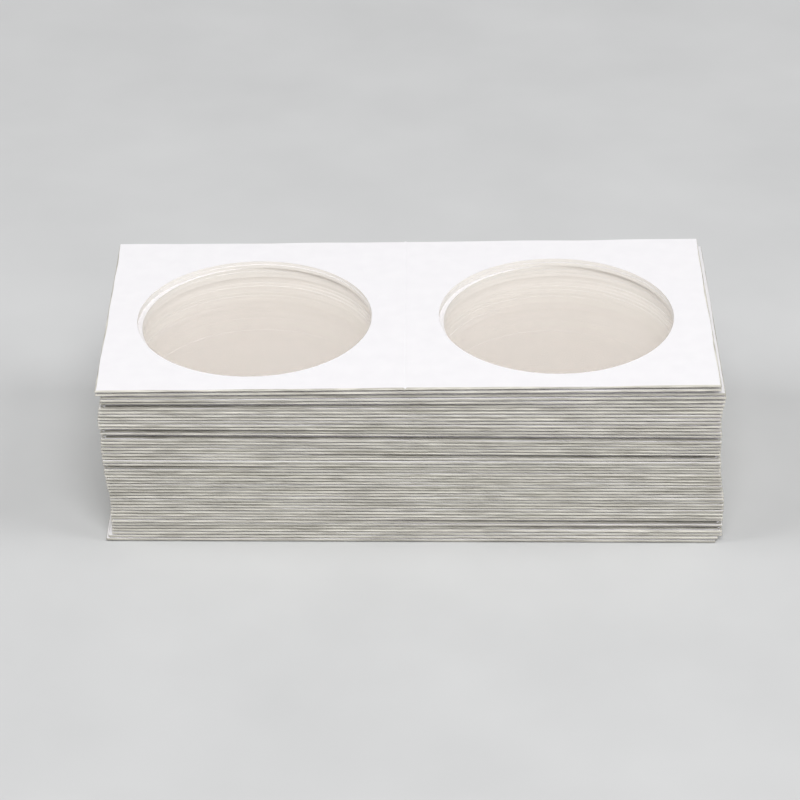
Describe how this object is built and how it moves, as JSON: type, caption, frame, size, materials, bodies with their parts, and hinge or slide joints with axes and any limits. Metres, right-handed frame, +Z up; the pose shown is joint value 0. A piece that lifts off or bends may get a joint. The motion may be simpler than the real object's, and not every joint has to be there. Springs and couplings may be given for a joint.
{
  "type": "coin holder flip",
  "caption": "Pile of open coin flips: white die-cut cards with round windows over clear film. Handfuls lift off, and the top flip folds at its crease as it is lifted.",
  "frame": {"origin": "centre of the lowest flip's underside, on the surface that the pile lies on", "axes": "+Z up through the pile, +X along the open flips' length, -Y towards the front of the pile"},
  "size_m": [0.1034, 0.0514, 0.0304],
  "materials": {
    "card": "matte white solid board with raw die-cut edges",
    "film": "clear glossy polyester film"
  },
  "bodies": {
    "lower_handful": {"card_01": "card", "card_02": "card", "card_03": "card", "card_04": "card", "card_05": "card", "card_06": "card", "card_07": "card", "films_lower": "film"},
    "middle_handful": {"card_08": "card", "card_09": "card", "card_10": "card", "card_11": "card", "card_12": "card", "card_13": "card", "card_14": "card", "card_15": "card", "card_16": "card", "card_17": "card", "card_18": "card", "card_19": "card", "card_20": "card", "card_21": "card", "card_22": "card", "card_23": "card", "card_24": "card", "card_25": "card", "card_26": "card", "card_27": "card", "card_28": "card", "card_29": "card", "card_30": "card", "card_31": "card", "card_32": "card", "card_33": "card", "card_34": "card", "card_35": "card", "films_middle": "film"},
    "upper_handful": {"card_36": "card", "card_37": "card", "card_38": "card", "card_39": "card", "card_40": "card", "card_41": "card", "card_42": "card", "card_43": "card", "card_44": "card", "card_45": "card", "card_46": "card", "card_47": "card", "card_48": "card", "card_49": "card", "films_upper": "film"},
    "crease": {"top_crease": "card"},
    "left_half": {"top_card_left": "card", "top_film_left": "film"},
    "right_half": {"top_card_right": "card", "top_film_right": "film"}
  },
  "joints": [
    {"name": "middle_lift", "type": "slide", "parent": "lower_handful", "child": "middle_handful", "axis": [0, 0, 1], "range_m": [0, 0.05]},
    {"name": "upper_lift", "type": "slide", "parent": "middle_handful", "child": "upper_handful", "axis": [0, 0, 1], "range_m": [0, 0.05]},
    {"name": "top_flip_lift", "type": "slide", "parent": "upper_handful", "child": "crease", "axis": [0, 0, 1], "range_m": [0, 0.085]},
    {"name": "left_half_fold", "type": "hinge", "parent": "crease", "child": "left_half", "pos_m": [-0.00105, 0.0002, 0.02912], "axis": [0.0007, -1, 0], "range_deg": [0, 90]},
    {"name": "right_half_fold", "type": "hinge", "parent": "crease", "child": "right_half", "pos_m": [-0.00105, 0.0002, 0.02912], "axis": [-0.0007, 1, 0], "range_deg": [0, 90]}
  ],
  "couplings": [
    {"joint": "left_half_fold", "follows": "top_flip_lift", "rad_per_m": 18.45},
    {"joint": "right_half_fold", "follows": "top_flip_lift", "rad_per_m": 18.45}
  ]
}
